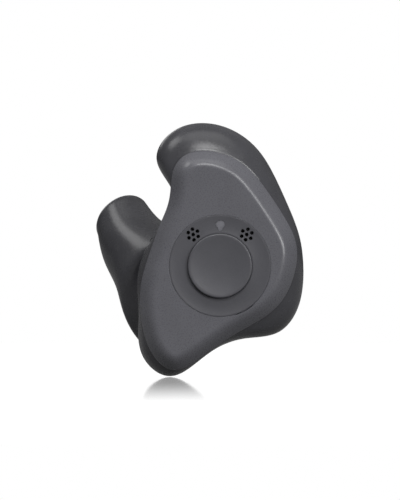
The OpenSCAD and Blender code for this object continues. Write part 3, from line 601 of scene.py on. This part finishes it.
def makePlate():
    edge, deep, trim = plate["edge"], plate["thickness"], plate["trim"]

    def bandDepth(inset):  # rolled side, which meets the flat at an angle
        return -deep * ((inset - trim) / (edge - trim)) ** plate["bandPower"]

    soft = plate["crestRound"]
    slope = (bandDepth(edge - soft) + deep) / soft
    start = plate["groove"] + trim
    rings = [plateRing(start, 0)]
    for k in range(1, plate["bandSteps"] + 1):
        inset = start + (edge - soft - start) * (k / plate["bandSteps"]) ** 2
        rings.append(plateRing(inset, bandDepth(inset)))
    for k in range(1, plate["crestSteps"] + 1):  # round where the band meets the flat front
        t = k / plate["crestSteps"]
        inset = edge + soft * (t ** 2 - (1 - t) ** 2)
        rings.append(plateRing(inset, -deep + (1 - t) ** 2 * soft * slope))
    rings.append(plateRing(edge + plate["flatFrom"] * soft, -deep))
    bore = plate["discRadius"]  # with a fine edge round the opening
    rings += [boreRing(bore + 3 * plate["boreEdge"], -deep),
              boreRing(bore + plate["boreEdge"], -deep),
              boreRing(bore + 0.3 * plate["boreEdge"], -deep + 0.3 * plate["boreEdge"]),
              boreRing(bore, -deep + plate["boreEdge"]), boreRing(bore, 0)]
    near = shell["wall"] + plate["lipGap"]
    rings += [lipRing(0), lipRing(plate["lipDepth"]), plateRing(near, plate["lipDepth"]),
              plateRing(near, 0)]
    points = toRow(np.array(rings).reshape(-1, 3))
    piece = meshPiece("faceplateBody", points, ringFaces(len(rings), len(plateCurve)),
                      "plate_resin", 60)
    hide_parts("faceplate")


plateCurve = closedCurve(outline, plate["steps"])
plateNormals = outward(plateCurve)
makeShell()
makePlate()
print("shell and faceplate made")


module = {
    "discRadius": 5.49, "opening": 3.5, "front": -1.85, "back": -0.9, "skirtBack": -0.32,
    "skirtWall": 0.22, "dish": 0.08, "edge": 0.05, "dishSteps": 12, "segments": 160,
    "lip": 0.02, "edgeGap": 0.06, "cutFront": -2.2, "cutBack": -0.5,
    "holeCircle": 4.45, "holeRadius": 0.2, "holePitch": 0.58,
    "groups": [(130.5, 98.6), (49.5, 77.5)],  # azimuth, turn
    "pocketRadius": 0.81, "pocketDepth": 0.2,
    "window": [(0.06, 4.46, 0.46), (0.04, 4.02, 0.27), (-0.4, 4.51, 0.1)],  # middle x and z, radius
}
button = {
    "radius": 3.48, "front": -2.27, "back": -0.95, "dish": 0.36, "edge": 0.17, "skirtWall": 0.7,
    "plunger": 0.7, "plungerEnd": -0.67, "tabReach": 0.45, "tabThick": 0.35, "tabHalf": 12,
    "tabRoot": 0.2, "tabs": (0, 180, 270), "roomFront": -1.33, "roomBack": -0.7, "roomReach": 0.54,
    "roomHalf": 14, "dishSteps": 14, "edgeSteps": 7, "segments": 160,
}


def lathe(profile, count):
    # body turned about the module's axis, from a closed [radius, depth] profile
    points, faces, rings = [], [], []
    for radius, depth in profile:
        if radius == 0:
            rings.append([len(points)] * count)
            points.append((0, depth, 0))
            continue
        rings.append(list(range(len(points), len(points) + count)))
        points += [(radius * math.cos(2 * math.pi * k / count), depth,
                    radius * math.sin(2 * math.pi * k / count)) for k in range(count)]
    for i, ring in enumerate(rings):
        after = rings[(i + 1) % len(rings)]
        for j in range(count):
            corner = [ring[j], after[j], after[(j + 1) % count], ring[(j + 1) % count]]
            kept = [c for n, c in enumerate(corner) if c != corner[n - 1]]
            if len(set(kept)) > 2:
                faces.append(tuple(kept))
    return points, faces


def rod(x, z, radius, front, back, count=32):
    turns = [2 * math.pi * k / count for k in range(count)]
    ring = [(x + radius * math.cos(a), z + radius * math.sin(a)) for a in turns]
    points = [(a, front, b) for a, b in ring] + [(a, back, b) for a, b in ring]
    faces = [(k, (k + 1) % count, count + (k + 1) % count, count + k) for k in range(count)]
    faces += [tuple(range(count))[::-1], tuple(range(count, 2 * count))]
    return points, faces


def plainMesh(name, parts):
    points, faces = [], []
    for somePoints, someFaces in parts:
        faces += [tuple(len(points) + c for c in face) for face in someFaces]
        points += [tuple(p) for p in toRow(somePoints)]
    mesh = bpy.data.meshes.new(name)
    mesh.from_pydata(points, [], faces)
    work = bmesh.new()
    work.from_mesh(mesh)
    bmesh.ops.recalc_face_normals(work, faces=work.faces)
    work.to_mesh(mesh)
    work.free()
    return mesh


def joined(name, mesh, tools, operation):
    # the mesh after each tool in turn is cut out, added or kept in common
    scene = bpy.context.scene.collection
    body = bpy.data.objects.new(name + "Blank", mesh)
    scene.objects.link(body)
    held = [body]
    for k, tool in enumerate(tools):
        other = bpy.data.objects.new(name + "Tool" + str(k), tool)
        scene.objects.link(other)
        held.append(other)
        change = body.modifiers.new("step" + str(k), "BOOLEAN")
        change.operation, change.solver, change.object = operation, "EXACT", other
    bpy.context.view_layer.update()
    whole = body.evaluated_get(bpy.context.evaluated_depsgraph_get())
    result = bpy.data.meshes.new_from_object(whole)
    for obj in held:
        bpy.data.objects.remove(obj, do_unlink=True)
    work = bmesh.new()
    work.from_mesh(result)
    bmesh.ops.remove_doubles(work, verts=work.verts, dist=0.0005 * mm)  # slivers left by the cuts
    bmesh.ops.dissolve_degenerate(work, dist=0.0005 * mm, edges=work.edges)
    work.to_mesh(result)
    work.free()
    result.name = name
    return result


def dished(inner, outer, front, dish, steps):
    # shallow hollow between two radii, as [radius, depth] points
    middle, half = (inner + outer) / 2, (outer - inner) / 2
    return [(inner + (outer - inner) * k / steps,
             front + dish * (1 - ((inner + (outer - inner) * k / steps - middle) / half) ** 2))
            for k in range(steps + 1)]


def roundEdge(radius, front, edge, steps=5):
    return [(radius - edge + edge * math.sin(a), front + edge - edge * math.cos(a))
            for a in np.radians(90 * np.arange(steps + 1) / steps)]


def makeDisc():
    look = module
    inner, outer, front, edge = look["opening"], look["discRadius"], look["front"], look["edge"]
    lip, first, last = look["lip"], look["cutFront"], look["cutBack"]
    # fine lip round the button, then the shallow dish and the rounded rim
    profile = [(inner, front + 3 * lip), (inner + 0.3 * lip, front + 2 * lip),
               (inner + lip, front + 1.4 * lip)]
    profile += [(r, y + 1.2 * lip * (outer - edge - r) / (outer - inner))
                for r, y in dished(inner + 2 * lip, outer - edge - look["edgeGap"], front,
                                   look["dish"], look["dishSteps"])]
    profile += roundEdge(outer, front, edge)
    skirt = outer - look["skirtWall"]
    profile += [(outer, look["skirtBack"]), (skirt, look["skirtBack"]), (skirt, look["back"]),
                (inner, look["back"])]
    blank = plainMesh("discBlank", [lathe(profile, look["segments"])])
    holes, pockets, pocketFront = [], [], look["back"] - look["pocketDepth"]
    for azimuth, turn in look["groups"]:
        a = math.radians(azimuth)
        x, z = look["holeCircle"] * math.cos(a), look["holeCircle"] * math.sin(a)
        spots = [(x, z)] + [(x + look["holePitch"] * math.cos(math.radians(turn + 60 * k)),
                             z + look["holePitch"] * math.sin(math.radians(turn + 60 * k)))
                            for k in range(6)]
        holes += [rod(p, q, look["holeRadius"], first, last, 24) for p, q in spots]
        pockets.append(rod(x, z, look["pocketRadius"], pocketFront, last, 40))
    root, room = button["radius"] - button["tabRoot"], button["radius"] + button["roomReach"]
    tabRoom = [arcBlock(root, room, button["roomFront"], button["roomBack"], azimuth,
                        button["roomHalf"]) for azimuth in button["tabs"]]
    tools = [plainMesh("holes", holes), plainMesh("pockets", pockets),
             plainMesh("tabRoom", tabRoom)]
    tools += [plainMesh("windowCut", [rod(x, z, radius, first, last, 40)])
              for x, z, radius in look["window"]]
    piece = finishPiece("moduleDisc", joined("moduleDisc", blank, tools, "DIFFERENCE"),
                        "module_plastic", "hearing_aid")
    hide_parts("module_bezel")


def arcBlock(inner, outer, front, back, azimuth, half, steps=8):
    points, faces = [], []
    angles = [math.radians(azimuth - half + 2 * half * k / steps) for k in range(steps + 1)]
    for a in angles:
        for radius, depth in ((inner, front), (outer, front), (outer, back), (inner, back)):
            points.append((radius * math.cos(a), depth, radius * math.sin(a)))
    for k in range(steps):
        for c in range(4):
            d = (c + 1) % 4
            faces.append((4 * k + c, 4 * k + d, 4 * k + 4 + d, 4 * k + 4 + c))
    faces += [(0, 3, 2, 1), tuple(4 * steps + c for c in range(4))]
    return points, faces


def makeButton():
    look = button
    radius, front, edge = look["radius"], look["front"], look["edge"]
    flat = radius - edge
    steps = look["dishSteps"]
    profile = [(flat * k / steps, front + look["dish"] * (1 - (k / steps) ** 2))
               for k in range(steps)]
    profile += roundEdge(radius, front, edge, look["edgeSteps"])
    well, wellFront = radius - look["skirtWall"], front + look["skirtWall"]
    profile += [(radius, look["back"]), (well, look["back"]), (well, wellFront),
                (look["plunger"], wellFront), (look["plunger"], look["plungerEnd"]),
                (0, look["plungerEnd"])]
    blank = plainMesh("buttonBlank", [lathe(profile, look["segments"])])
    tabs = plainMesh("buttonTabs", [
        arcBlock(radius - look["tabRoot"], radius + look["tabReach"],
                 look["back"] - look["tabThick"], look["back"], azimuth, look["tabHalf"])
        for azimuth in look["tabs"]])
    piece = finishPiece("pushButton", joined("pushButton", blank, [tabs], "UNION"),
                        "button_plastic", "button")
    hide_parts("push_button")


pipe = {"sunk": 0.1, "back": -0.62, "gap": 0.02, "speckDepth": 0.5, "segments": 40,
        "speckSegments": 24}


def makeLightPipe():
    front, gap = module["front"] + pipe["sunk"], pipe["gap"]
    pieces = [plainMesh("pipe", [rod(x, z, radius - gap, front, pipe["back"], pipe["segments"])])
              for x, z, radius in module["window"][:2]]
    x, z, radius = module["window"][2]
    speck = plainMesh("pipeSpeck", [rod(x, z, radius - gap, front, front + pipe["speckDepth"],
                                        pipe["speckSegments"])])
    mesh = joined("lightPipe", pieces[0], [pieces[1], speck], "UNION")
    piece = finishPiece("lightPipe", mesh, "light_pipe", "hearing_aid")
    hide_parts("led_window")


snapDome = {"radius": 1.6, "thickness": 0.1, "rise": 0.34, "foot": -0.31, "steps": 14, "keep": 0.3}


def makeSnapDome():
    # thin metal dome under the button; on the real part it flattens as the button goes in, but this
    # piece keeps its shape
    look = snapDome
    radius, thick, foot = look["radius"], look["thickness"], look["foot"]
    crown = look["rise"] - thick
    turns = [math.pi / 2 * k / look["steps"] for k in range(look["steps"] + 1)]
    profile = [(radius * math.sin(a), foot - thick - crown * math.cos(a)) for a in turns]
    profile.append((radius, foot))
    profile += [((radius - thick) * math.sin(a), foot - crown * math.cos(a)) for a in turns[::-1]]
    mesh = plainMesh("snapDome", [lathe(profile, 96)])
    piece = finishPiece("snapDome", mesh, "snap_steel", "hearing_aid")
    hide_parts("switch_dome")
    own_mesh(piece)


makeDisc()
makeButton()
makeLightPipe()
makeSnapDome()
print("module made")


studio = {
    "floorHeight": -16.96, "floorRadius": 520, "mirrorNear": 40, "mirrorFar": 330, "mirror": 0.75,
    "floorTone": 0.12, "floorGloss": 0.12, "worldLevels": (0.01, 0.24, 0.9), "glossLevel": 0.3,
    "mirrorGrazing": (0.9, 0.97), "mirrorRough": 0.03, "worldReach": 0.9, "middle": (10.6, -14.6),
    "cardHalf": 150, "cardAway": 1600, "target": (8, -12, -3),
    "lamps": [  # name, direction from the object, distance, width, height, radiance
        ("crestLamp", (0.04, -0.76, 0.65), 420, 130, 80, 15.0),
        ("keyLamp", (0.4, -0.8, 0.45), 420, 90, 90, 16.0),
        ("rightLamp", (0.64, -0.75, 0.17), 420, 80, 120, 18.0),
        ("topLamp", (0.02, -0.3, 0.95), 380, 300, 200, 1.3),
        ("topLeftLamp", (-0.6, -0.14, 0.78), 380, 170, 130, 3.4),
        ("rimLamp", (-0.38, 0.84, 0.38), 380, 180, 70, 1.6),
    ],
}


def shownTo(board, glossShare):
    # 1 where the white setting shows: to the camera, through clear pieces and, in part, in gloss
    names = ("Is Camera Ray", "Is Glossy Ray", "Is Transmission Ray")
    camera, gloss, through = (board.node("ShaderNodeLightPath", output=name) for name in names)
    return board.calc("MINIMUM", camera + through + gloss * glossShare, 1.0)


def makeFloor():
    mesh = bpy.data.meshes.new("studioFloor")
    work = bmesh.new()
    bmesh.ops.create_circle(work, cap_ends=True, segments=96, radius=studio["floorRadius"] * mm)
    work.to_mesh(mesh)
    work.free()
    floor = bpy.data.objects.new("studioFloor", mesh)
    middleX, middleY = studio["middle"]
    floor.location = (middleX * mm, middleY * mm, studio["floorHeight"] * mm)
    bpy.context.scene.collection.objects.link(floor)
    finish = Finish("floorWhite")
    place = finish.place()
    x, y = finish.axis(place, "X"), finish.axis(place, "Y")
    reach = (x * x + y * y) ** 0.5
    grazing = finish.node("ShaderNodeLayerWeight", inputs={0: 0.5}, output=1)
    fading = finish.between(reach, studio["mirrorNear"] * mm, studio["mirrorFar"] * mm,
                            studio["mirror"], 0.0)
    mask = fading * finish.between(grazing, *studio["mirrorGrazing"])
    tone, rough = studio["floorTone"], studio["mirrorRough"]
    white = finish.node("ShaderNodeBsdfDiffuse", inputs={0: (tone, tone, tone, 1)})
    glow = finish.node("ShaderNodeEmission", inputs={0: (1, 1, 1, 1), 1: 1.0})
    bright = finish.node("ShaderNodeAddShader", inputs={0: white, 1: glow})
    lit = finish.node("ShaderNodeMixShader", inputs={0: shownTo(finish, studio["floorGloss"]),
                                                     1: white, 2: bright})
    mirror = finish.node("ShaderNodeBsdfGlossy", inputs={0: (1, 1, 1, 1), "Roughness": rough})
    top = finish.node("ShaderNodeMixShader", inputs={0: mask, 1: lit, 2: mirror})
    clear = finish.node("ShaderNodeBsdfTransparent")
    under = finish.node("ShaderNodeNewGeometry", output="Backfacing")
    whole = finish.node("ShaderNodeMixShader", inputs={0: under, 1: top, 2: clear})
    mesh.materials.append(finish.show(whole))


def makeWall():
    # white card behind, which the floor mirrors
    mesh = bpy.data.meshes.new("studioWall")
    half = studio["cardHalf"] * mm
    mesh.from_pydata([(-half, 0, -half), (half, 0, -half), (half, 0, half), (-half, 0, half)], [],
                     [(0, 1, 2, 3)])
    wall = bpy.data.objects.new("studioWall", mesh)
    wall.location = (studio["middle"][0] * mm, studio["cardAway"] * mm, 0)
    bpy.context.scene.collection.objects.link(wall)
    finish = Finish("cardWhite")
    glow = finish.node("ShaderNodeEmission", inputs={0: (1, 1, 1, 1), 1: 1.0})
    mesh.materials.append(finish.show(glow))


def makeLamps():
    target = Vector(studio["target"]) * mm
    for name, way, distance, width, height, radiance in studio["lamps"]:
        light = bpy.data.lights.new(name, "AREA")
        light.shape = "RECTANGLE"
        light.size, light.size_y = width * mm, height * mm
        light.energy = radiance * math.pi * light.size * light.size_y  # watts
        lamp = bpy.data.objects.new(name, light)
        away = Vector(way).normalized()
        lamp.location = target + away * distance * mm
        lamp.rotation_mode = "QUATERNION"
        lamp.rotation_quaternion = away.to_track_quat("Z", "Y")
        bpy.context.scene.collection.objects.link(lamp)


def makeWorld():
    world = bpy.data.worlds.new("studioWorld")
    bpy.context.scene.world = world
    world.use_nodes = True
    board = Board(world.node_tree)
    height = board.axis(board.place("Generated"), "Z")
    low, middle, high = studio["worldLevels"]
    reach = studio["worldReach"]
    level = (board.between(height, -reach, 0.0, low, middle)
             + board.between(height, 0.0, reach, 0.0, high - middle))
    gloss = board.node("ShaderNodeLightPath", output="Is Glossy Ray")
    seen = board.calc("MAXIMUM", *(board.node("ShaderNodeLightPath", output=name)
                                   for name in ("Is Camera Ray", "Is Transmission Ray")))
    tone = level * (1 - gloss * (1 - studio["glossLevel"])) * (1 - seen) + seen
    sky = board.node("ShaderNodeBackground", inputs={0: tone, 1: 1.0})
    board.node("ShaderNodeOutputWorld", inputs={0: sky})


view = {"middle": (8.44, -3.24), "distance": 1500, "frameHeight": 54, "frontDepth": -16.4,
        "sensor": 36, "clip": (0.01, 10)}


def makeCamera():
    data = bpy.data.cameras.new("photoCamera")
    data.lens = view["sensor"] * view["distance"] / view["frameHeight"]
    data.sensor_width = view["sensor"]
    data.clip_start, data.clip_end = view["clip"]
    camera = bpy.data.objects.new("photoCamera", data)
    camera.location = (view["middle"][0] * mm, (view["frontDepth"] - view["distance"]) * mm,
                       view["middle"][1] * mm)
    camera.rotation_euler = (math.pi / 2, 0, 0)
    bpy.context.scene.collection.objects.link(camera)
    bpy.context.scene.camera = camera


makeFloor()
makeWall()
makeLamps()
makeWorld()
makeCamera()
bpy.context.scene.view_settings.view_transform = "Standard"
print("studio made")
